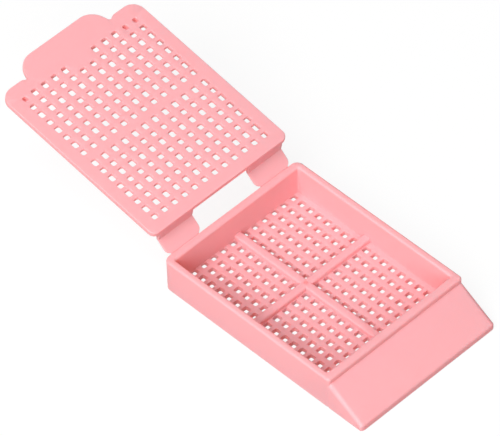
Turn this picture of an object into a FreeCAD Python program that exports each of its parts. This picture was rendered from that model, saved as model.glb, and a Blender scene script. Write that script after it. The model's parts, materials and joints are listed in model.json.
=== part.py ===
import FreeCAD, Part

import os
import re

import Sketcher

# Tissue cassette: a perforated tray with a sloping write-on front, and a perforated lid
# that two thin straps join to the tray's rear rim.  Tray, straps and lid are one moulding.
# Origin: on the underside, below the centre of the tray's hole grid.
# +X runs across, +Y towards the hinge, +Z up.  Millimetres and degrees throughout.

SIZES = {
    # tray
    "tray_width": 28.35,
    "tray_height": 6.1,
    "rear_reach": 15.85,
    "front_reach": 18.82,
    "side_wall": 1.2,
    "rear_wall": 1.4,
    "front_wall": 1.45,
    "floor_thick": 0.85,
    "rear_corner": 1.3,
    "front_corner": 0.6,
    "cavity_corner": 0.9,
    "rim_round": 0.3,
    # dividers that quarter the tray
    "divider_thick": 1.4,
    "divider_height": 0.85,
    "divider_round": 0.3,
    # sloping label panel
    "slope_step": 0.95,
    "slope_run": 6.65,
    "toe_height": 0.95,
    "panel_thick": 1.0,
    "gusset_inset": 0.06,
    "gusset_thick": 1.0,
    "slope_round": 0.75,
    # tray hole grid, per quarter
    "tray_columns": 6,
    "tray_rows": 8,
    "tray_column_pitch": 2.04,
    "tray_row_pitch": 1.823,
    "tray_first_column": 1.316,
    "tray_first_row": 1.352,
    "tray_hole_width": 1.14,
    "tray_hole_length": 1.1,
    # lid plate, as it lies closed on the rim
    "lid_side_setback": 0.02,
    "lid_front_setback": 1.0,
    "lid_thick": 1.1,
    "lid_hinge_corner": 1.2,
    "lid_shoulder_corner": 2.2,
    "lid_outer_round": 0.4,
    "lid_inner_round": 0.2,
    # finger tab
    "tab_reach": 2.85,
    "tab_half_width": 7.5,
    "tab_root_half_width": 8.6,
    "tab_notch_depth": 0.5,
    "tab_notch_width": 1.0,
    "tab_corner": 3.1,
    # lid hole grid, per quarter
    "lid_grid_centre": 16.63,
    "lid_columns": 6,
    "lid_rows": 8,
    "lid_column_pitch": 2.098,
    "lid_row_pitch": 1.834,
    "lid_first_column": 1.049,
    "lid_first_row": 1.243,
    "lid_hole_width": 1.08,
    "lid_short_hole": 0.95,
    "lid_long_hole": 1.2,
    # recess in the lid's outer face, which leaves a thin web for the holes
    "recess_depth": 0.55,
    "recess_margin": 0.12,
    "tab_bridge_columns": 1,
    "tab_recess_right_columns": 4,
    "tab_recess_left_columns": 5,
    # hinge
    "hinge_back": 0.99,
    "hinge_rise": 1.87,
    "lid_gap": 0.05,
    "open_tilt": 10.57,
    "strap_inset": 1.25,
    "strap_width": 7.05,
    "strap_neck": 5.7,
    "strap_neck_run": 0.25,
    "strap_flare_run": 0.7,
    "strap_corner": 0.5,
    "leg_depth": 2.4,
    "leg_thick": 0.6,
    "strap_drop": 0.06,
}

doc = FreeCAD.newDocument("tissue_cassette")
sheet = doc.addObject("Spreadsheet::Sheet", "Sizes")
for row, (alias, value) in enumerate(SIZES.items(), start=1):
    sheet.set(f"A{row}", alias)
    sheet.set(f"B{row}", str(value))
    sheet.setAlias(f"B{row}", alias)
doc.recompute()


def linked(text):
    """Expression text in which each size's name is replaced by its cell."""
    return re.sub(
        "[a-z_]+", lambda word: f"Sizes.{word[0]}" if word[0] in SIZES else word[0], text
    )


def bind(target, prop, text):
    target.setExpression(prop, linked(text))


def size(text):
    return float(sheet.evalExpression(linked(text)))


def new_body(label):
    body = doc.addObject("PartDesign::Body", label)
    body.Label = label
    return body


def origin_plane(body, role):
    return next(item for item in body.Origin.OriginFeatures if item.Role == role)


def outline(body, name, role, loops, offset=None):
    """Sketch of closed polygons whose corners are pairs of size expressions."""
    sketch = body.newObject("Sketcher::SketchObject", name)
    sketch.AttachmentSupport = [(origin_plane(body, role), "")]
    sketch.MapMode = "FlatFace"
    if offset:
        bind(sketch, "AttachmentOffset.Base.z", offset)
    for corners in loops:
        first = sketch.GeometryCount
        points = [
            FreeCAD.Vector(*(float(sketch.evalExpression(linked(c))) for c in pair), 0)
            for pair in corners
        ]
        count = len(points)
        for i in range(count):
            sketch.addGeometry(Part.LineSegment(points[i], points[(i + 1) % count]), False)
        for i in range(count):
            sketch.addConstraint(
                Sketcher.Constraint("Coincident", first + i, 2, first + (i + 1) % count, 1)
            )
        for i, pair in enumerate(corners):
            for kind, value, text in zip(("DistanceX", "DistanceY"), points[i], pair):
                index = sketch.addConstraint(
                    Sketcher.Constraint(kind, -1, 1, first + i, 1, value)
                )
                bind(sketch, f"Constraints[{index}]", text)
    return sketch


def rectangle(x0, y0, x1, y1):
    return [(x0, y0), (x1, y0), (x1, y1), (x0, y1)]


def pad(body, name, sketch, length, midplane=False, reverse=False):
    feature = body.newObject("PartDesign::Pad", name)
    feature.Profile = sketch
    feature.Midplane = midplane
    feature.Reversed = reverse
    bind(feature, "Length", length)
    doc.recompute()
    return feature


def pocket(body, name, sketch, length, midplane=False, reverse=False):
    before = body.Shape.Volume
    feature = body.newObject("PartDesign::Pocket", name)
    feature.Profile = sketch
    feature.Midplane = midplane
    feature.Reversed = reverse
    bind(feature, "Length", length)
    doc.recompute()
    if body.Shape.Volume >= before:
        raise RuntimeError(f"{name} removes nothing")
    return feature


def fillet(body, name, radius, chosen):
    """Round the edges of the body that the test picks."""
    base = body.Tip
    names = [f"Edge{i}" for i, edge in enumerate(base.Shape.Edges, start=1) if chosen(edge)]
    feature = body.newObject("PartDesign::Fillet", name)
    feature.Base = (base, names)
    bind(feature, "Radius", radius)
    doc.recompute()
    return feature


def repeat(body, name, feature, sketch, steps, mirrors=()):
    """Repeat a feature along sketch axes and across origin planes."""
    multi = body.newObject("PartDesign::MultiTransform", name)
    multi.Originals = [feature]
    parts = []
    for i, (axis, spacing, count) in enumerate(steps, start=1):
        step = body.newObject("PartDesign::LinearPattern", f"{name}Step{i}")
        step.Direction = (sketch, [axis])
        bind(step, "Occurrences", count)
        bind(step, "Length", f"( {spacing} ) * ( {count} - 1 )")
        parts.append(step)
    for i, role in enumerate(mirrors, start=1):
        mirror = body.newObject("PartDesign::Mirrored", f"{name}Mirror{i}")
        mirror.MirrorPlane = (origin_plane(body, role), [""])
        parts.append(mirror)
    multi.Transformations = parts
    body.Tip = multi
    doc.recompute()
    return multi


def spans(edge, axis):
    """Length of the edge's box along one axis: 0, 1 or 2 for X, Y or Z."""
    box = edge.BoundBox
    return (box.XLength, box.YLength, box.ZLength)[axis]


def upright(edge):
    return spans(edge, 2) > 0.05 and spans(edge, 0) < 1e-4 and spans(edge, 1) < 1e-4


def level_at(edge, height):
    box = edge.BoundBox
    return abs(box.ZMin - height) < 1e-4 and abs(box.ZMax - height) < 1e-4


def make_label_panel():
    """Sloping wedge that leans on the tray's front wall, a small step below the rim."""
    body = new_body("label_panel")
    wedge = outline(body, "WedgeProfile", "YZ_Plane", [[
        ("front_wall / 2 - front_reach", "0"),
        ("front_wall / 2 - front_reach", "tray_height - slope_step"),
        ("- front_reach", "tray_height - slope_step"),
        ("- front_reach - slope_run", "toe_height"),
        ("- front_reach - slope_run", "0"),
    ]])
    pad(body, "Wedge", wedge, "tray_width - 2 * gusset_inset", midplane=True)
    toe = -size("front_reach") - size("slope_run")

    def rounded(edge):
        box = edge.BoundBox
        side = box.XLength < 1e-4
        along_slope = side and box.ZLength > 0.1 and box.YLength > 0.1
        level_top = side and level_at(edge, size("tray_height") - size("slope_step"))
        toe_corner = upright(edge) and box.YMax < toe + 1e-3
        toe_top = box.YMax < toe + 1e-3 and level_at(edge, size("toe_height"))
        return along_slope or level_top or toe_corner or toe_top

    fillet(body, "WedgeEdges", "slope_round", rounded)
    return body


def make_tray():
    body = new_body("tray")
    block = outline(body, "TrayBlock", "XY_Plane", [
        rectangle("- tray_width / 2", "- front_reach", "tray_width / 2", "rear_reach"),
    ])
    pad(body, "TrayShell", block, "tray_height")
    fillet(body, "RearCorners", "rear_corner",
           lambda edge: upright(edge) and edge.BoundBox.YMin > 0)
    fillet(body, "FrontCorners", "front_corner",
           lambda edge: upright(edge) and edge.BoundBox.YMax < 0
           and abs(edge.BoundBox.YMin + size("front_reach")) < 1e-4)

    panel = body.newObject("PartDesign::Boolean", "LabelPanel")
    panel.Type = "Fuse"
    panel.setObjects([make_label_panel()])
    doc.recompute()

    cavity = outline(body, "CavityPlan", "XY_Plane", [
        rectangle("side_wall - tray_width / 2", "front_wall - front_reach",
                  "tray_width / 2 - side_wall", "rear_reach - rear_wall"),
    ], offset="floor_thick")
    pocket(body, "Cavity", cavity, "tray_height - floor_thick", reverse=True)
    inner_x = size("tray_width") / 2 - size("side_wall")
    fillet(body, "CavityCorners", "cavity_corner",
           lambda edge: upright(edge) and abs(abs(edge.BoundBox.XMin) - inner_x) < 1e-4)
    fillet(body, "RimEdges", "rim_round",
           lambda edge: level_at(edge, size("tray_height")))

    lengthwise = outline(body, "LengthwiseDividerPlan", "XY_Plane", [
        rectangle("- divider_thick / 2", "front_wall / 2 - front_reach",
                  "divider_thick / 2", "rear_reach - rear_wall / 2"),
    ], offset="floor_thick / 2")
    pad(body, "LengthwiseDivider", lengthwise, "floor_thick / 2 + divider_height")
    crosswise = outline(body, "CrosswiseDividerPlan", "XY_Plane", [
        rectangle("side_wall / 2 - tray_width / 2", "- divider_thick / 2",
                  "tray_width / 2 - side_wall / 2", "divider_thick / 2"),
    ], offset="floor_thick / 2")
    pad(body, "CrosswiseDivider", crosswise, "floor_thick / 2 + divider_height")
    divider_top = size("floor_thick") + size("divider_height")
    fillet(body, "DividerTops", "divider_round",
           lambda edge: level_at(edge, divider_top) and edge.Length > 3)

    # Below the label panel the moulding is hollow, open underneath.
    rise = "( tray_height - slope_step - toe_height ) / slope_run"
    depth = f"panel_thick * sqrt(1 + ({rise}) ^ 2)"
    hollow = outline(body, "PanelHollowProfile", "YZ_Plane", [[
        ("- front_reach", "0"),
        ("- front_reach", f"tray_height - slope_step - {depth}"),
        (f"- front_reach - ( tray_height - slope_step - {depth} ) / ( {rise} )", "0"),
    ]])
    pocket(body, "PanelHollow", hollow,
           "tray_width - 2 * gusset_inset - 2 * gusset_thick", midplane=True)

    hole = outline(body, "TrayHolePlan", "XY_Plane", [
        rectangle("tray_first_column - tray_hole_width / 2",
                  "tray_first_row - tray_hole_length / 2",
                  "tray_first_column + tray_hole_width / 2",
                  "tray_first_row + tray_hole_length / 2"),
    ])
    first = pocket(body, "TrayHole", hole, "floor_thick", reverse=True)
    repeat(body, "TrayHoles", first, hole,
           [("H_Axis", "tray_column_pitch", "tray_columns"),
            ("V_Axis", "tray_row_pitch", "tray_rows")],
           ["YZ_Plane", "XZ_Plane"])
    return body


# The lid's own frame has its origin at the hinge edge of the inner face, +Y towards the tab
# and the outer face below.  Closed, that edge lies lid_gap above the rear rim's outer edge
# and the plate reaches to lid_front_setback behind the tray's front; open, the whole lid has
# swung about the hinge axis and lies open_tilt above level.
AXIS_Y = "rear_reach + hinge_back"
AXIS_Z = "tray_height + hinge_rise"
DROP = "( hinge_rise - lid_gap )"
EDGE_Y = f"{AXIS_Y} + hinge_back * cos(open_tilt) - {DROP} * sin(open_tilt)"
EDGE_Z = f"{AXIS_Z} + hinge_back * sin(open_tilt) + {DROP} * cos(open_tilt)"
LID_SIDE = "( tray_width / 2 - lid_side_setback )"
LID_LENGTH = "( rear_reach + front_reach - lid_front_setback )"
STRAP_CENTRE = "( tray_width / 2 - strap_inset - strap_width / 2 )"


def make_lid():
    body = new_body("lid")
    body.Placement.Rotation = FreeCAD.Rotation(FreeCAD.Vector(1, 0, 0), size("open_tilt"))
    bind(body, "Placement.Rotation.Angle", "open_tilt")
    bind(body, "Placement.Base.y", EDGE_Y)
    bind(body, "Placement.Base.z", EDGE_Z)

    side = [
        (LID_SIDE, "0"),
        (LID_SIDE, LID_LENGTH),
        ("tab_root_half_width + tab_notch_width", LID_LENGTH),
        ("tab_root_half_width", f"{LID_LENGTH} - tab_notch_depth"),
        ("tab_half_width", f"{LID_LENGTH} + tab_reach"),
    ]
    far_side = [(f"- ( {x} )", y) for x, y in reversed(side)]
    plate = outline(body, "LidPlan", "XY_Plane", [side + far_side])
    pad(body, "LidPlate", plate, "lid_thick", reverse=True)
    shoulder = size(LID_LENGTH)
    tip = shoulder + size("tab_reach")
    flank = size(LID_SIDE)

    def at_shoulder(edge):
        box = edge.BoundBox
        outermost = abs(abs(box.XMin) - flank) < 1e-4
        return upright(edge) and outermost and abs(box.YMin - shoulder) < 1e-4

    fillet(body, "LidHingeCorners", "lid_hinge_corner",
           lambda edge: upright(edge) and edge.BoundBox.YMax < 1e-4)
    fillet(body, "LidShoulders", "lid_shoulder_corner", at_shoulder)
    fillet(body, "TabCorners", "tab_corner",
           lambda edge: upright(edge) and edge.BoundBox.YMin > tip - 1e-4)
    fillet(body, "LidInnerEdges", "lid_inner_round", lambda edge: level_at(edge, 0))
    fillet(body, "LidOuterEdges", "lid_outer_round",
           lambda edge: level_at(edge, -size("lid_thick")))

    # Two legs stand off the outer face at the hinge edge; the straps start from their feet.
    inner = f"{STRAP_CENTRE} - strap_width / 2"
    outer = f"{STRAP_CENTRE} + strap_width / 2"
    legs = outline(body, "LegPlan", "XY_Plane", [
        rectangle(inner, "0", outer, "leg_thick"),
        rectangle(f"- ( {outer} )", "0", f"- ( {inner} )", "leg_thick"),
    ], offset="- leg_depth")
    pad(body, "StrapLegs", legs, "leg_depth - lid_inner_round")

    # The outer face is recessed over the grid.  At the last row the recess is bridged at the
    # tab's root and stops short of the shoulders, so the holes there stay closed.
    near_rows = [
        f"lid_grid_centre - lid_first_row - {i} * lid_row_pitch"
        for i in reversed(range(int(size("lid_rows"))))
    ]
    far_rows = [
        f"lid_grid_centre + lid_first_row + {i} * lid_row_pitch"
        for i in range(int(size("lid_rows")))
    ]
    rows = near_rows + far_rows
    side_end = ("lid_first_column + ( lid_columns - 1 ) * lid_column_pitch"
                " + lid_hole_width / 2 + recess_margin")
    low = f"{rows[0]} - lid_short_hole / 2 - recess_margin"
    mid = f"{rows[-2]} + lid_short_hole / 2 + recess_margin"
    high = f"{rows[-1]} + lid_short_hole / 2"
    bridge = "tab_bridge_columns * lid_column_pitch"
    right = "tab_recess_right_columns * lid_column_pitch"
    left = "tab_recess_left_columns * lid_column_pitch"
    recess = outline(body, "LidRecessPlan", "XY_Plane", [[
        (f"- ( {side_end} )", low), (side_end, low), (side_end, mid),
        (right, mid), (right, high), (bridge, high), (bridge, mid),
        (f"- {bridge}", mid), (f"- {bridge}", high), (f"- {left}", high), (f"- {left}", mid),
        (f"- ( {side_end} )", mid),
    ]], offset="- lid_thick")
    pocket(body, "LidRecess", recess, "recess_depth", reverse=True)

    # Holes in the inner face, short and long by turns.
    def hole_column(name, column, used_rows):
        x = f"lid_first_column + {column} * lid_column_pitch"
        lengths = ["lid_short_hole", "lid_long_hole"] * len(near_rows)
        holes = outline(body, f"{name}Plan", "XY_Plane", [
            rectangle(f"{x} - lid_hole_width / 2", f"{row} - {length} / 2",
                      f"{x} + lid_hole_width / 2", f"{row} + {length} / 2")
            for row, length in zip(used_rows, lengths)
        ])
        return pocket(body, name, holes, "lid_thick - recess_depth"), holes

    # The two middle columns have one hole fewer: the tab's root stays solid.
    middle, plan = hole_column("MiddleColumn", 0, rows[:-1])
    repeat(body, "MiddleColumns", middle, plan, [], ["YZ_Plane"])
    second, plan = hole_column("SecondColumn", 1, rows)
    repeat(body, "OuterColumns", second, plan,
           [("H_Axis", "lid_column_pitch", "lid_columns - 1")], ["YZ_Plane"])
    return body


def make_strap(label, side):
    """Thin plate from the rear wall to the foot of the lid's leg; side is -1 or 1."""
    body = new_body(label)
    bind(body, "Placement.Base.x", f"{side} * {STRAP_CENTRE}")
    foot_y = f"( {EDGE_Y} + leg_depth * sin(open_tilt) )"
    foot_z = f"( {EDGE_Z} - leg_depth * cos(open_tilt) )"
    back_y = f"( {foot_y} + leg_thick * cos(open_tilt) )"
    back_z = f"( {foot_z} + leg_thick * sin(open_tilt) )"
    top = "( tray_height - rim_round - strap_drop )"
    climb = f"( {foot_z} - {top} ) / ( {foot_y} - rear_reach )"
    profile = outline(body, f"{label}_profile", "YZ_Plane", [[
        ("rear_reach", top),
        (foot_y, foot_z),
        (back_y, back_z),
        ("rear_reach", f"{back_z} - ( {back_y} - rear_reach ) * {climb}"),
    ]])
    pad(body, f"{label}_plate", profile, "strap_width", midplane=True)
    edge = "strap_width / 2"
    neck = "strap_neck / 2"
    flare = [
        (neck, "rear_reach"), (edge, "rear_reach"),
        (edge, "rear_reach + strap_neck_run + strap_flare_run"),
        (neck, "rear_reach + strap_neck_run"),
    ]
    notch = outline(body, f"{label}_neck_plan", "XY_Plane", [
        flare, [(f"- {x}", y) for x, y in reversed(flare)],
    ])
    pocket(body, f"{label}_neck", notch, "2 * tray_height", reverse=True)
    half_width = size("strap_width") / 2

    def lower_corner(edge):
        near = edge.BoundBox.YMax < size("rear_reach + strap_neck_run + strap_flare_run") + 1e-3
        return upright(edge) and near and abs(abs(edge.BoundBox.XMin) - half_width) < 1e-3

    fillet(body, f"{label}_corners", "strap_corner", lower_corner)
    return body


def check():
    """Stop before anything is written if an object failed or a piece is unsound."""
    for item in doc.Objects:
        if "Invalid" in item.State or "Error" in item.State:
            raise RuntimeError(f"{item.Name} failed: {item.State}")
    for piece in pieces:
        shape = piece.Shape
        if shape.isNull() or not shape.isValid() or len(shape.Solids) != 1:
            raise RuntimeError(f"{piece.Label} is not one sound solid")


pieces = [
    make_tray(),
    make_lid(),
    make_strap("hinge_strap_left", -1),
    make_strap("hinge_strap_right", 1),
]
doc.recompute()
check()
os.makedirs("parts", exist_ok=True)
for piece in pieces:
    piece.Shape.exportStep(f"parts/{piece.Label}.step")
    print(piece.Label, round(piece.Shape.Volume, 2))
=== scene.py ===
import json
import math

import bmesh
import bpy
from mathutils import Matrix, Vector
from mathutils.geometry import delaunay_2d_cdt


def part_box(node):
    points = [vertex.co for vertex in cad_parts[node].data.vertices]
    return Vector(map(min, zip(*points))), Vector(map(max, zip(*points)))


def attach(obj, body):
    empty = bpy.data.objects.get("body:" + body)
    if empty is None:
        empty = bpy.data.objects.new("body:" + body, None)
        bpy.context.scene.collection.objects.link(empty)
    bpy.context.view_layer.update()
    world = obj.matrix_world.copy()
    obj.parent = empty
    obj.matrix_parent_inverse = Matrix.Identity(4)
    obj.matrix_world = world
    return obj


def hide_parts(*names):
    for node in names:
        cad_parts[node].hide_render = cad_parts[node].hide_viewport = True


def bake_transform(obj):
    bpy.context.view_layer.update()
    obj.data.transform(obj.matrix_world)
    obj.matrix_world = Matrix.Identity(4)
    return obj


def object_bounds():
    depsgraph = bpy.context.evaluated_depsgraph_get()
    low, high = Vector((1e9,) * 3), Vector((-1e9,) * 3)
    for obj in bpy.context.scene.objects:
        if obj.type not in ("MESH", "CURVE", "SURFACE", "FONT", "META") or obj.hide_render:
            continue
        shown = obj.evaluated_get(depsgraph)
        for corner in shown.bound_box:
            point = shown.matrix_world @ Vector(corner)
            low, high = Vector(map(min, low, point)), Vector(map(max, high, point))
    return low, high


mm = 0.001
weldMm = 1e-4  # points closer than this are one point
sharpDegrees = 40  # edges folded more than this stay crisp
holeSteps = 3  # facets in each rounded corner and mouth of a hole


def hexToLinear(code):
    def channel(pair):
        value = int(pair, 16) / 255
        return value / 12.92 if value <= 0.04045 else ((value + 0.055) / 1.055) ** 2.4

    code = code.lstrip("#")
    return (channel(code[0:2]), channel(code[2:4]), channel(code[4:6]), 1.0)


def addNode(tree, kind, place, settings=None, links=None):
    node = tree.nodes.new(kind)
    node.location = place
    for name, value in (settings or {}).items():
        if isinstance(name, int) or name in node.inputs:
            node.inputs[name].default_value = value
        else:
            setattr(node, name, value)
    for name, source in (links or {}).items():
        tree.links.new(source, node.inputs[name])
    return node


# Every piece is drawn in millimetres as stacked loops of points. The loops are bridged into
# walls and roundings, and flat faces are filled around their holes.

def roundCorners(corners, arcSteps):
    # corners: (x, y, radius), counter-clockwise; gives the outline with its corners as arcs
    points = []
    count = len(corners)
    for i, (x, y, radius) in enumerate(corners):
        here = Vector((x, y))
        before = Vector(corners[i - 1][:2])
        after = Vector(corners[(i + 1) % count][:2])
        comeIn = (here - before).normalized()
        goOut = (after - here).normalized()
        turn = comeIn.angle_signed(goOut) * -1
        reach = radius * math.tan(abs(turn) / 2)
        start = here - comeIn * reach
        side = Vector((-comeIn.y, comeIn.x)) * math.copysign(1, turn)
        centre = start + side * radius
        arm = start - centre
        for step in range(arcSteps + 1):
            angle = turn * step / arcSteps
            points.append(centre + Vector((
                arm.x * math.cos(angle) - arm.y * math.sin(angle),
                arm.x * math.sin(angle) + arm.y * math.cos(angle),
            )))
    return points


def shrink(points, distance):
    # moves every side of a counter-clockwise outline inwards
    moved = []
    count = len(points)
    for i, here in enumerate(points):
        first = (here - points[i - 1]).normalized()
        second = (points[(i + 1) % count] - here).normalized()
        normal = Vector((-first.y - second.y, first.x + second.x))
        normal.normalize()
        lean = max(0.3, normal.dot(Vector((-first.y, first.x))))  # tames needle-sharp corners
        moved.append(here + normal * (distance / lean))
    return moved


def addLoop(mesh, points, height):
    return [mesh.verts.new((p.x, p.y, height)) for p in points]


def bridge(mesh, lower, upper):
    # both loops run counter-clockwise seen from outside the wall's top
    count = len(lower)
    for i in range(count):
        j = (i + 1) % count
        mesh.faces.new((lower[i], lower[j], upper[j], upper[i]))


def bridgeAll(mesh, loops):
    for lower, upper in zip(loops, loops[1:]):
        bridge(mesh, lower, upper)


def surrounds(loop, spot):
    # whether a flat loop of vertices runs around a point
    inside = False
    for i, vert in enumerate(loop):
        a, b = loop[i - 1].co, vert.co
        if (a.y > spot.y) != (b.y > spot.y):
            if spot.x < a.x + (b.x - a.x) * (spot.y - a.y) / (b.y - a.y):
                inside = not inside
    return inside


def fillFlat(mesh, outer, holes, faceUp):
    # fills the flat region inside one loop and outside the hole loops
    verts = list(outer)
    owner = [0] * len(outer)
    sides = [(i, (i + 1) % len(outer)) for i in range(len(outer))]
    for number, hole in enumerate(holes, start=1):
        base = len(verts)
        verts += hole
        owner += [number] * len(hole)
        sides += [(base + i, base + (i + 1) % len(hole)) for i in range(len(hole))]
    flat = [v.co.xy for v in verts]
    insideOnly, closestMm = 1, 1e-6
    found = delaunay_2d_cdt(flat, sides, [], insideOnly, closestMm)
    triangles, origins = found[2], found[3]
    for triangle in triangles:
        numbers = [origins[i][0] for i in triangle]
        owners = {owner[i] for i in numbers}
        corners = [verts[i] for i in numbers]
        a, b, c = (v.co.xy for v in corners)
        if len(owners) == 1 and 0 not in owners:
            if surrounds(holes[owners.pop() - 1], (a + b + c) / 3):
                continue
        up = (b - a).cross(c - a) > 0
        mesh.faces.new(corners if up == faceUp else corners[::-1])


def quarter(radius, steps):
    # (inset, rise) along a quarter round, from the upright wall to the level face
    return [
        (radius * (1 - math.cos(math.pi / 2 * i / steps)),
         radius * math.sin(math.pi / 2 * i / steps))
        for i in range(steps + 1)
    ]


def makePiece(name, mesh, place=Matrix.Identity(4)):
    # joins a mesh drawn in millimetres, moves it to its place and turns it to metres
    bmesh.ops.remove_doubles(mesh, verts=mesh.verts, dist=weldMm)
    bmesh.ops.dissolve_degenerate(mesh, edges=mesh.edges, dist=weldMm)
    mesh.transform(place)
    mesh.transform(Matrix.Scale(mm, 4))
    data = bpy.data.meshes.new(name)
    mesh.to_mesh(data)
    mesh.free()
    for polygon in data.polygons:
        polygon.use_smooth = True
    data.set_sharp_from_angle(angle=math.radians(sharpDegrees))
    obj = bpy.data.objects.new(name, data)
    bpy.context.scene.collection.objects.link(obj)
    return obj


def evenShading(obj):
    normals = obj.modifiers.new("evenShading", "WEIGHTED_NORMAL")
    normals.keep_sharp = True


# Moulded acetal: a milky, slightly waxy plastic that comes out of the tool satin.
# Light goes a little way in, so folds and hole walls glow a deeper coral than the faces.
acetal = {
    "paleColour": "#FFC5CC",
    "deepColour": "#FFC3CA",
    "mottleMm": 9.0,
    "roughLow": 0.36,
    "roughHigh": 0.46,
    "subsurface": 0.2,
    "subsurfaceMm": (0.9, 0.35, 0.32),
    "throughShare": 0.3,
    "throughColour": "#FFB5A0",
    "ior": 1.48,
    "sparkGrainMm": 0.45,  # the real grain is finer; drawn as coarse as it needs to show
    "sparkDepthMm": 0.006,
    "waveMm": 5.0,
    "waveDepthMm": 0.02,
}


def mouldedAcetal(name):
    material = bpy.data.materials.new(name)
    material.use_nodes = True
    tree = material.node_tree
    tree.nodes.clear()
    place = addNode(tree, "ShaderNodeTexCoord", (-1200, 0)).outputs["Object"]
    mottle = addNode(
        tree, "ShaderNodeTexNoise", (-900, 300),
        {"Scale": 1 / (acetal["mottleMm"] * mm), "Detail": 2.0}, {"Vector": place},
    )
    pale, deep, blended = 6, 7, 2  # the Mix node's colour sockets
    colour = addNode(
        tree, "ShaderNodeMix", (-500, 300),
        {
            "data_type": "RGBA",
            pale: hexToLinear(acetal["paleColour"]),
            deep: hexToLinear(acetal["deepColour"]),
        },
        {"Factor": mottle.outputs["Fac"]},
    )
    grain = addNode(
        tree, "ShaderNodeTexNoise", (-900, -100),
        {"Scale": 1 / (acetal["sparkGrainMm"] * mm), "Detail": 3.0}, {"Vector": place},
    )
    wave = addNode(
        tree, "ShaderNodeTexNoise", (-900, -400),
        {"Scale": 1 / (acetal["waveMm"] * mm), "Detail": 1.0}, {"Vector": place},
    )
    rough = addNode(
        tree, "ShaderNodeMapRange", (-500, 0),
        {"To Min": acetal["roughLow"], "To Max": acetal["roughHigh"]},
        {"Value": grain.outputs["Fac"]},
    )
    waveBump = addNode(
        tree, "ShaderNodeBump", (-500, -400), {"Distance": acetal["waveDepthMm"] * mm},
        {"Height": wave.outputs["Fac"]},
    )
    grainBump = addNode(
        tree, "ShaderNodeBump", (-250, -300), {"Distance": acetal["sparkDepthMm"] * mm},
        {"Height": grain.outputs["Fac"], "Normal": waveBump.outputs["Normal"]},
    )
    shader = addNode(
        tree, "ShaderNodeBsdfPrincipled", (0, 0),
        {
            "IOR": acetal["ior"],
            "Subsurface Weight": acetal["subsurface"],
            "Subsurface Radius": acetal["subsurfaceMm"],
            "Subsurface Scale": mm,
        },
        {
            "Base Color": colour.outputs[blended],
            "Roughness": rough.outputs["Result"],
            "Normal": grainBump.outputs["Normal"],
        },
    )
    through = addNode(
        tree, "ShaderNodeBsdfTranslucent", (0, 300),
        {"Color": hexToLinear(acetal["throughColour"])},
    )
    milky = addNode(
        tree, "ShaderNodeMixShader", (250, 0), {"Fac": acetal["throughShare"]},
        {1: shader.outputs["BSDF"], 2: through.outputs["BSDF"]},
    )
    addNode(
        tree, "ShaderNodeOutputMaterial", (450, 0), {}, {"Surface": milky.outputs["Shader"]}
    )
    return material


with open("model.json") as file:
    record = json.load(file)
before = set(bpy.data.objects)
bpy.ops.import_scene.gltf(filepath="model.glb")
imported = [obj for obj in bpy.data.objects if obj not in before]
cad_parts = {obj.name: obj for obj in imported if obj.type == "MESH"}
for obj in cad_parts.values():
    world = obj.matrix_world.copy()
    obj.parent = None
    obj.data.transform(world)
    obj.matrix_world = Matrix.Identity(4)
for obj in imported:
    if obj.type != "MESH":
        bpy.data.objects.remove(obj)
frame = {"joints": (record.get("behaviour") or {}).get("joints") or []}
cadLow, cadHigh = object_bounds()
print("frame loaded")

# Where the solids lie, in millimetres.
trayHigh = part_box("tray")[1] / mm
hingeJoint = frame["joints"][0]
hingeAxis = Vector(hingeJoint["pos_m"]) / mm
swing = math.radians(hingeJoint["range_deg"][1])


# Tray: a rimmed box with a perforated floor.
tray = {
    "frontMm": 18.82,
    "rearMm": 15.85,
    "sideWallMm": 1.2,
    "rearWallMm": 1.4,
    "frontWallMm": 1.45,
    "floorMm": 0.85,
    "rearCornerMm": 1.3,
    "frontCornerMm": 0.6,
    "cavityCornerMm": 0.3,
    "rimRoundMm": 0.4,
    "footRoundMm": 0.15,
    "cornerSteps": 8,
    "roundSteps": 4,
    "columns": 6,
    "rows": 8,
    "columnPitchMm": 2.04,
    "rowPitchMm": 1.823,
    "firstColumnMm": 1.316,
    "firstRowMm": 1.352,
    "holeWidthMm": 1.14,
    "holeLengthMm": 1.1,
    "holeCornerMm": 0.18,
    "mouthRoundMm": 0.05,
    "wallGapMm": 0.02,
}


def roundedBox(x0, y0, x1, y1, radius, steps):
    return roundCorners(
        [(x0, y0, radius), (x1, y0, radius), (x1, y1, radius), (x0, y1, radius)], steps)


def holeWall(mesh, mouth, foot, mouthRound, top, bottom):
    # a hole from its mouth's outline, rounded over, to its foot's; gives both end loops
    loops = []
    for inset, rise in reversed(quarter(mouthRound, holeSteps)):
        loops.append(addLoop(mesh, shrink(mouth, -inset), top - mouthRound + rise))
    loops.append(addLoop(mesh, foot, bottom))
    for upper, lower in zip(loops, loops[1:]):
        bridge(mesh, lower[::-1], upper[::-1])
    return loops[0], loops[-1]


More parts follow.
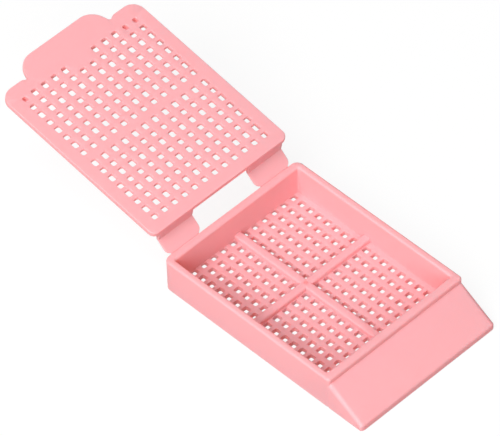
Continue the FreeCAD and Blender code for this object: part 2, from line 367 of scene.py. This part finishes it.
def buildShell():
    mesh = bmesh.new()
    half = trayHigh.x
    steps = tray["cornerSteps"]
    top = trayHigh.z
    front, rear = -tray["frontMm"], tray["rearMm"]
    outer = roundCorners([
        (-half, front, tray["frontCornerMm"]), (half, front, tray["frontCornerMm"]),
        (half, rear, tray["rearCornerMm"]), (-half, rear, tray["rearCornerMm"]),
    ], steps)
    side = half - tray["sideWallMm"]
    cavity = roundedBox(-side, front + tray["frontWallMm"], side, rear - tray["rearWallMm"],
                        tray["cavityCornerMm"], steps)
    footRound = quarter(tray["footRoundMm"], tray["roundSteps"])
    rimRound = quarter(tray["rimRoundMm"], tray["roundSteps"])
    loops = [addLoop(mesh, shrink(outer, inset), tray["footRoundMm"] - rise)
             for inset, rise in reversed(footRound)]
    loops += [addLoop(mesh, shrink(outer, inset), top - tray["rimRoundMm"] + rise)
              for inset, rise in rimRound]
    loops += [addLoop(mesh, shrink(cavity, -inset), top - tray["rimRoundMm"] + rise)
              for inset, rise in reversed(rimRound)]
    loops.append(addLoop(mesh, cavity, tray["floorMm"]))
    bridgeAll(mesh, loops)
    walls = []
    # the last row runs on under the rear wall, so its mouths stop short of the wall's foot
    wallFoot = rear - tray["rearWallMm"] - tray["mouthRoundMm"] - tray["wallGapMm"]
    for ySign in (-1, 1):
        for row in range(tray["rows"]):
            y = ySign * (tray["firstRowMm"] + row * tray["rowPitchMm"])
            for xSign in (-1, 1):
                for column in range(tray["columns"]):
                    x = xSign * (tray["firstColumnMm"] + column * tray["columnPitchMm"])
                    left, right = x - tray["holeWidthMm"] / 2, x + tray["holeWidthMm"] / 2
                    near, far = y - tray["holeLengthMm"] / 2, y + tray["holeLengthMm"] / 2
                    mouth, foot = (
                        roundedBox(left, near, right, end, tray["holeCornerMm"], holeSteps)
                        for end in (min(far, wallFoot), far)
                    )
                    walls.append(
                        holeWall(mesh, mouth, foot, tray["mouthRoundMm"], tray["floorMm"], 0))
    fillFlat(mesh, loops[-1], [mouth for mouth, foot in walls], True)
    fillFlat(mesh, loops[0], [foot for mouth, foot in walls], False)
    return makePiece("tray_shell", mesh)


# Dividers quarter the tray: low ridges, rounded above and flared into the floor.
divider = {
    "thickMm": 1.4,
    "heightMm": 0.85,
    "topRoundMm": 0.36,
    "footFlareMm": 0.05,
    "sunkMm": 0.4,
    "roundSteps": 4,
    "flareSteps": 3,
}


def buildDivider(name, start, end, lengthwise):
    mesh = bmesh.new()
    half = divider["thickMm"] / 2
    floor = tray["floorMm"]
    top = floor + divider["heightMm"]
    flare = divider["footFlareMm"]
    right = [(half + flare, floor - divider["sunkMm"])]
    right += [(half + inset, floor + flare - rise)
              for inset, rise in reversed(quarter(flare, divider["flareSteps"]))]
    right += [(half - inset, top - divider["topRoundMm"] + rise)
              for inset, rise in quarter(divider["topRoundMm"], divider["roundSteps"])]
    section = right + [(-across, height) for across, height in reversed(right)]
    ends = []
    for along in (start, end):
        spots = [(across, along, height) if lengthwise else (along, -across, height)
                 for across, height in section]
        ends.append([mesh.verts.new(spot) for spot in spots])
    bridge(mesh, ends[1], ends[0])
    mesh.faces.new(ends[0])
    mesh.faces.new(list(reversed(ends[1])))
    bmesh.ops.recalc_face_normals(mesh, faces=mesh.faces)
    return makePiece(name, mesh)


# Label panel: a wedge in front of the tray, hollow underneath, with blunt rounded edges.
panel = {
    "stepMm": 0.95,
    "runMm": 6.65,
    "toeMm": 0.95,
    "thickMm": 1.0,
    "insetMm": 0.06,
    "gussetMm": 1.0,
    "roundMm": 0.75,
    "toeRoundMm": 0.5,
    "lapMm": 0.4,  # how far the wedge's top runs into the front wall
    "roundSteps": 6,
    "toeShare": 0.98,  # of its round, the toe gives this much away towards the flanks
}


def buildPanel():
    mesh = bmesh.new()
    half = trayHigh.x - panel["insetMm"]
    front = -tray["frontMm"]
    backTop = front + panel["lapMm"]
    backFoot = front + tray["footRoundMm"]
    crest = trayHigh.z - panel["stepMm"]
    toe = front - panel["runMm"]
    radius = panel["roundMm"]
    toeRadius = panel["toeRoundMm"]
    rise = (crest - panel["toeMm"]) / panel["runMm"]
    lean = math.atan(rise)
    turn = math.pi / 2 - lean
    centre = Vector((toe + toeRadius, panel["toeMm"] - toeRadius * math.tan(turn / 2)))
    steps = panel["roundSteps"]

    def profile(inset):
        # toe foot, toe arc, crest and back, moved in from the slope and the toe
        toeInset = panel["toeShare"] * inset * toeRadius / radius
        points = [Vector((backFoot, 0)), Vector((toe + toeInset, 0))]
        for i in range(steps + 1):
            angle = math.pi - turn * i / steps
            points.append(
                centre + (toeRadius - toeInset) * Vector((math.cos(angle), math.sin(angle))))
        crestY = front + inset * math.tan(lean / 2)
        points += [Vector((crestY, crest - inset)), Vector((backTop, crest - inset))]
        return points

    loops = []
    arc = [math.pi / 2 * i / steps for i in range(steps + 1)]
    for side in (-1, 1):
        for angle in (arc[::-1] if side < 0 else arc):
            x = side * (half - radius + radius * math.sin(angle))
            inset = radius * (1 - math.cos(angle))
            loops.append([mesh.verts.new((x, p.x, p.y)) for p in profile(inset)])
    count = len(loops[0])
    for left, right in zip(loops, loops[1:]):
        for i in range(1, count - 1):
            mesh.faces.new((left[i], left[i + 1], right[i + 1], right[i]))
        mesh.faces.new((left[-1], left[0], right[0], right[-1]))
    mesh.faces.new(list(reversed(loops[0])))
    mesh.faces.new(loops[-1])
    under = crest - panel["thickMm"] * math.sqrt(1 + rise ** 2)
    inner = half - panel["gussetMm"]
    wall = (front + backFoot) / 2
    hollow = [(wall, 0), (wall, under), (front, under), (front - under / rise, 0)]
    ends = [[mesh.verts.new((x, y, z)) for y, z in hollow] for x in (-inner, inner)]
    mesh.faces.new(ends[0])
    mesh.faces.new(list(reversed(ends[1])))
    for i, j in ((0, 1), (1, 2), (2, 3)):
        mesh.faces.new((ends[0][i], ends[1][i], ends[1][j], ends[0][j]))
    sole = [loop[1] for loop in loops] + [loop[0] for loop in reversed(loops)]
    mouth = [ends[0][3], ends[1][3], ends[1][0], ends[0][0]]
    fillFlat(mesh, sole, [mouth], False)
    bmesh.ops.recalc_face_normals(mesh, faces=mesh.faces)
    return makePiece("label_panel", mesh)


# Lid: a thin perforated plate with a finger tab, recessed behind its holes.
lid = {
    "sideSetbackMm": 0.02,
    "frontSetbackMm": 1.0,
    "thickMm": 1.1,
    "hingeCornerMm": 1.2,
    "shoulderCornerMm": 2.2,
    "notchCornerMm": 0.35,
    "notchMouthMm": 1.05,
    "tabReachMm": 2.85,
    "tabHalfMm": 7.5,
    "tabRootHalfMm": 8.6,
    "notchDepthMm": 0.5,
    "notchWidthMm": 1.0,
    "tabCornerMm": 3.1,
    "innerRoundMm": 0.14,
    "outerRoundMm": 0.4,
    "cornerSteps": 8,
    "innerSteps": 3,
    "outerSteps": 4,
    "gridCentreMm": 16.63,
    "columns": 6,
    "rows": 8,
    "columnPitchMm": 2.098,
    "rowPitchMm": 1.834,
    "firstColumnMm": 1.049,
    "firstRowMm": 1.243,
    "holeWidthMm": 1.08,
    "shortHoleMm": 0.95,
    "longHoleMm": 1.2,
    "holeCornerMm": 0.27,
    "mouthRoundMm": 0.06,
    "blindHoleMm": 0.82,
    "blindCornerMm": 0.205,
    "blindDepthMm": 0.9,
    "recessMm": 0.55,
    "recessMarginMm": 0.12,
    "recessTabMarginMm": 0.02,
    "recessCornerMm": 0.2,
    "tabBridgeColumns": 1,
    "tabRecessRightColumns": 4,
    "tabRecessLeftColumns": 5,
    "gapMm": 0.05,
}


def lidPlace():
    # lays the lid upside down on the rim, then swings it back open about the hinge
    closed = Matrix.Translation((0, tray["rearMm"], trayHigh.z + lid["gapMm"]))
    closed @= Matrix.Rotation(math.pi, 4, "X")
    turned = Matrix.Translation(hingeAxis) @ Matrix.Rotation(-swing, 4, "X")
    return turned @ Matrix.Translation(-hingeAxis) @ closed


def buildLid():
    mesh = bmesh.new()
    half = trayHigh.x - lid["sideSetbackMm"]
    length = tray["rearMm"] + tray["frontMm"] - lid["frontSetbackMm"]
    root, tip = lid["tabRootHalfMm"], lid["tabHalfMm"]
    right = [
        (half, 0, lid["hingeCornerMm"]),
        (half, length, lid["shoulderCornerMm"]),
        (root + lid["notchWidthMm"], length, lid["notchMouthMm"]),
        (root, length - lid["notchDepthMm"], lid["notchCornerMm"]),
        (tip, length + lid["tabReachMm"], lid["tabCornerMm"]),
    ]
    left = [(-x, y, radius) for x, y, radius in reversed(right)]
    outline = roundCorners(right + left, lid["cornerSteps"])
    inner = quarter(lid["innerRoundMm"], lid["innerSteps"])
    outer = quarter(lid["outerRoundMm"], lid["outerSteps"])
    loops = [addLoop(mesh, shrink(outline, inset), lid["outerRoundMm"] - lid["thickMm"] - rise)
             for inset, rise in reversed(outer)]
    loops += [addLoop(mesh, shrink(outline, inset), rise - lid["innerRoundMm"])
              for inset, rise in inner]
    bridgeAll(mesh, loops)
    lastRow = 2 * lid["rows"] - 1
    pitch = lid["columnPitchMm"]
    bridgeEnd = lid["tabBridgeColumns"] * pitch
    rightEnd = lid["tabRecessRightColumns"] * pitch
    leftEnd = -lid["tabRecessLeftColumns"] * pitch
    ceiling = lid["recessMm"] - lid["thickMm"]
    mouths = []
    feet = []
    rowLines = []
    for row in range(lastRow + 1):
        step = row - lid["rows"]
        offset = lid["firstRowMm"] + (step if step >= 0 else -step - 1) * lid["rowPitchMm"]
        y = lid["gridCentreMm"] + math.copysign(offset, step + 0.5)
        rowLines.append(y)
        for xSign in (-1, 1):
            for column in range(lid["columns"]):
                if row == lastRow and column == 0:
                    continue
                x = xSign * (lid["firstColumnMm"] + column * pitch)
                blind = row == lastRow and not leftEnd < x < rightEnd
                if blind:
                    across = along = lid["blindHoleMm"] / 2
                    corner, bottom = lid["blindCornerMm"], -lid["blindDepthMm"]
                else:
                    across = lid["holeWidthMm"] / 2
                    along = (lid["longHoleMm"] if row % 2 else lid["shortHoleMm"]) / 2
                    corner, bottom = lid["holeCornerMm"], ceiling
                hole = roundedBox(x - across, y - along, x + across, y + along,
                                  corner, holeSteps)
                mouth, foot = holeWall(mesh, hole, hole, lid["mouthRoundMm"], 0, bottom)
                mouths.append(mouth)
                if blind:
                    fillFlat(mesh, foot, [], True)
                else:
                    feet.append(foot)
    side = (lid["firstColumnMm"] + (lid["columns"] - 1) * pitch + lid["holeWidthMm"] / 2
            + lid["recessMarginMm"])
    low = rowLines[0] - lid["shortHoleMm"] / 2 - lid["recessMarginMm"]
    mid = rowLines[-2] + lid["shortHoleMm"] / 2 + lid["recessMarginMm"]
    high = rowLines[-1] + lid["longHoleMm"] / 2 + lid["recessTabMarginMm"]
    corners = [
        (-side, low), (side, low), (side, mid), (rightEnd, mid), (rightEnd, high),
        (bridgeEnd, high), (bridgeEnd, mid), (-bridgeEnd, mid), (-bridgeEnd, high),
        (leftEnd, high), (leftEnd, mid), (-side, mid),
    ]
    recess = roundCorners([(x, y, lid["recessCornerMm"]) for x, y in corners], holeSteps)
    roof = addLoop(mesh, recess, ceiling)
    sill = addLoop(mesh, recess, -lid["thickMm"])
    bridge(mesh, sill[::-1], roof[::-1])
    fillFlat(mesh, roof, feet, False)
    fillFlat(mesh, loops[-1], mouths, True)
    fillFlat(mesh, loops[0], [sill], False)
    return makePiece("lid_plate", mesh, lidPlace())


# Straps: thin tongues that leave the rear wall, climb, and turn up into the lid's legs.
strap = {
    "insetMm": 1.25,
    "widthMm": 7.05,
    "neckMm": 5.7,
    "neckRunMm": 0.3,
    "cornerMm": 1.1,
    "legDepthMm": 2.4,
    "legMm": 0.6,
    "plateMm": 0.32,
    "dropMm": 0.36,
    "bendMm": 0.5,
    "rootMm": 0.5,
    "legTopMm": 0.3,
    "edgeRoundMm": 0.12,
    "edgeSteps": 3,
    "proudMm": 0.02,
    "stepMm": 0.1,
    "bendSteps": 8,
}


def strapRoute():
    # (y, z, thickness) along the strap, from inside the rear wall to the top of the lid's leg
    place = lidPlace()

    def onLeg(depth):
        spot = place @ Vector((0, strap["legMm"] / 2, -depth))
        return Vector((spot.y, spot.z))

    foot = onLeg(strap["legDepthMm"] - strap["plateMm"] / 2)
    top = onLeg(strap["legTopMm"])
    wall = Vector((tray["rearMm"], trayHigh.z - strap["dropMm"] - strap["plateMm"] / 2))
    climb = (foot - wall).normalized()
    up = (top - foot).normalized()
    reach = strap["bendMm"] * math.tan(climb.angle(up) / 2)
    fromBend, toBend = foot - climb * reach, foot + up * reach
    points = [wall - climb * strap["rootMm"], fromBend]
    for i in range(1, strap["bendSteps"]):
        share = i / strap["bendSteps"]
        points.append(fromBend.lerp(foot, share).lerp(foot.lerp(toBend, share), share))
    points += [toBend, top]
    dense = []
    for a, b in zip(points, points[1:]):
        steps = max(1, round((b - a).length / strap["stepMm"]))
        dense += [a.lerp(b, i / steps) for i in range(steps)]
    dense.append(points[-1])
    route = []
    for spot in dense:
        past = (spot - fromBend).dot(climb) / (2 * reach)
        if (spot - toBend).dot(up) > 0:
            past = 1
        share = min(max(past, 0), 1)
        route.append((spot, strap["plateMm"] + (strap["legMm"] - strap["plateMm"]) * share))
    return route


def buildStrap(name, side):
    mesh = bmesh.new()
    route = strapRoute()
    centre = side * (trayHigh.x - strap["insetMm"] - strap["widthMm"] / 2)
    full = strap["widthMm"] / 2 + strap["proudMm"]
    neck = strap["neckMm"] / 2
    corner = strap["cornerMm"]
    loops = []
    outside = 0
    for i, (here, thick) in enumerate(route):
        before = route[max(i - 1, 0)][0]
        after = route[min(i + 1, len(route) - 1)][0]
        along = (after - before).normalized()
        if here.x > tray["rearMm"]:
            outside += (here - before).length
        across = Vector((-along.y, along.x))
        half = thick / 2 + strap["proudMm"]
        past = outside - strap["neckRunMm"]
        if past <= 0:
            reach = neck
        elif past < corner:
            reach = max(neck, full - corner + math.sqrt(corner ** 2 - (corner - past) ** 2))
        else:
            reach = full
        ring = roundedBox(-reach, -half, reach, half, strap["edgeRoundMm"], strap["edgeSteps"])
        loops.append([
            mesh.verts.new((centre + p.x, here.x + across.x * p.y, here.y + across.y * p.y))
            for p in ring
        ])
    bridgeAll(mesh, loops)
    mesh.faces.new(list(reversed(loops[0])))
    mesh.faces.new(loops[-1])
    bmesh.ops.recalc_face_normals(mesh, faces=mesh.faces)
    return makePiece(name, mesh)


shell = buildShell()
lengthwise = buildDivider("lengthwise_divider", tray["frontWallMm"] / 2 - tray["frontMm"],
                          tray["rearMm"] - tray["rearWallMm"] / 2, True)
crosswise = buildDivider("crosswise_divider", tray["sideWallMm"] / 2 - trayHigh.x,
                         trayHigh.x - tray["sideWallMm"] / 2, False)
labelPanel = buildPanel()
print("tray drawn")
lidPlate = buildLid()
print("lid drawn")
straps = [buildStrap("hinge_strap_piece_left", -1), buildStrap("hinge_strap_piece_right", 1)]
print("straps drawn")

pinkAcetal = mouldedAcetal("mouldedAcetal")
for obj in (shell, lengthwise, crosswise, labelPanel, lidPlate, *straps):
    obj.data.materials.append(pinkAcetal)
    evenShading(obj)
for obj in (shell, lengthwise, crosswise, labelPanel):
    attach(obj, "tray")
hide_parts("tray")
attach(lidPlate, "lid")
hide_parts("lid")
legPoint = lidPlace() @ Vector((0, strap["legMm"] / 2, -strap["legDepthMm"])) * mm
for obj, node in zip(straps, ("hinge_strap_left", "hinge_strap_right")):
    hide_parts(node)
    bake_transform(obj)
print("moulding finished")

studio = {
    "floorSeen": "#FFFFFF",
    "floorBounce": "#8C8C8C",
    "floorMm": 1600,
    "floorDropMm": 0.02,
    "shadowShare": 0.1,
    "skyStrength": 0.15,
    "lampDistanceMm": 900,
    "lamps": {
        "sideSoftbox": {"azimuth": 180, "elevation": 55, "sizeMm": (500, 850), "watts": 8.5},
        "frontSoftbox": {"azimuth": 225, "elevation": 25, "sizeMm": (500, 500), "watts": 4.3},
    },
}


def pointAt(obj, target):
    obj.rotation_mode = "QUATERNION"
    obj.rotation_quaternion = (Vector(target) - obj.location).to_track_quat("-Z", "Y")


def softbox(name, lamp, target):
    light = bpy.data.lights.new(name, "AREA")
    light.shape = "RECTANGLE"
    light.size, light.size_y = (side * mm for side in lamp["sizeMm"])
    light.energy = lamp["watts"]
    obj = bpy.data.objects.new(name, light)
    turn, rise = math.radians(lamp["azimuth"]), math.radians(lamp["elevation"])
    level = studio["lampDistanceMm"] * mm * math.cos(rise)
    height = studio["lampDistanceMm"] * mm * math.sin(rise)
    obj.location = target + Vector((level * math.cos(turn), level * math.sin(turn), height))
    bpy.context.scene.collection.objects.link(obj)
    pointAt(obj, target)


def seenDirectly(tree):
    # 1 where the backdrop is looked at, by the camera or through gloss or glass
    path = addNode(tree, "ShaderNodeLightPath", (-800, 200)).outputs
    total = addNode(tree, "ShaderNodeMath", (-600, 200), {"operation": "ADD"},
                    {0: path["Is Camera Ray"], 1: path["Is Glossy Ray"]})
    return addNode(tree, "ShaderNodeMath", (-400, 200), {"operation": "ADD", "use_clamp": True},
                   {0: total.outputs[0], 1: path["Is Transmission Ray"]})


def buildFloor():
    half = studio["floorMm"] / 2 * mm
    mesh = bpy.data.meshes.new("floor")
    mesh.from_pydata(
        [(-half, -half, 0), (half, -half, 0), (half, half, 0), (-half, half, 0)],
        [], [(0, 1, 2, 3)],
    )
    floor = bpy.data.objects.new("floor", mesh)
    floor.location.z = -studio["floorDropMm"] * mm
    bpy.context.scene.collection.objects.link(floor)
    material = bpy.data.materials.new("whitePaper")
    material.use_nodes = True
    tree = material.node_tree
    tree.nodes.clear()
    seen = seenDirectly(tree)
    white = hexToLinear(studio["floorSeen"])
    bounce = addNode(tree, "ShaderNodeBsdfDiffuse", (-400, -300),
                     {"Color": hexToLinear(studio["floorBounce"])})
    paper = addNode(tree, "ShaderNodeBsdfDiffuse", (-400, 0), {"Color": white})
    glow = addNode(tree, "ShaderNodeEmission", (-400, -150), {"Color": white, "Strength": 1.0})
    lit = addNode(
        tree, "ShaderNodeMixShader", (-150, 0), {"Fac": 1 - studio["shadowShare"]},
        {1: paper.outputs[0], 2: glow.outputs[0]},
    )
    both = addNode(
        tree, "ShaderNodeMixShader", (50, 0), {},
        {"Fac": seen.outputs[0], 1: bounce.outputs[0], 2: lit.outputs[0]},
    )
    addNode(tree, "ShaderNodeOutputMaterial", (250, 0), {}, {"Surface": both.outputs[0]})
    mesh.materials.append(material)


def buildSky():
    world = bpy.data.worlds.new("studioSky")
    bpy.context.scene.world = world
    world.use_nodes = True
    tree = world.node_tree
    tree.nodes.clear()
    strength = addNode(
        tree, "ShaderNodeMapRange", (-200, 200),
        {"To Min": studio["skyStrength"], "To Max": 1.0},
        {"Value": seenDirectly(tree).outputs[0]},
    )
    sky = addNode(
        tree, "ShaderNodeBackground", (0, 0), {"Color": (1, 1, 1, 1)},
        {"Strength": strength.outputs["Result"]},
    )
    addNode(tree, "ShaderNodeOutputWorld", (250, 0), {}, {"Surface": sky.outputs[0]})


buildFloor()
buildSky()
middle = (cadLow + cadHigh) / 2
for name, lamp in studio["lamps"].items():
    softbox(name, lamp, middle)
print("studio lit")

view = {
    "lensMm": 415.5,
    "placeMm": (-399.87, -412.91, 641.97),
    "targetMm": (2.643, 14.431, 3.0),
    "rollDegrees": -2.137,
    "sensorMm": 36,
    "nearestMm": 50,
    "farthestMm": 10000,
}


def buildCamera():
    lens = bpy.data.cameras.new("camera")
    lens.lens = view["lensMm"]
    lens.sensor_width = view["sensorMm"]
    lens.clip_start = view["nearestMm"] * mm
    lens.clip_end = view["farthestMm"] * mm
    obj = bpy.data.objects.new("camera", lens)
    obj.location = Vector(view["placeMm"]) * mm
    bpy.context.scene.collection.objects.link(obj)
    aim = (Vector(view["targetMm"]) * mm - obj.location).to_track_quat("-Z", "Y")
    turn = Matrix.Rotation(math.radians(view["rollDegrees"]), 3, "Z")
    obj.rotation_mode = "QUATERNION"
    obj.rotation_quaternion = (aim.to_matrix() @ turn).to_quaternion()
    bpy.context.scene.camera = obj


buildCamera()
bpy.context.scene.view_settings.view_transform = "Standard"
print("camera placed")
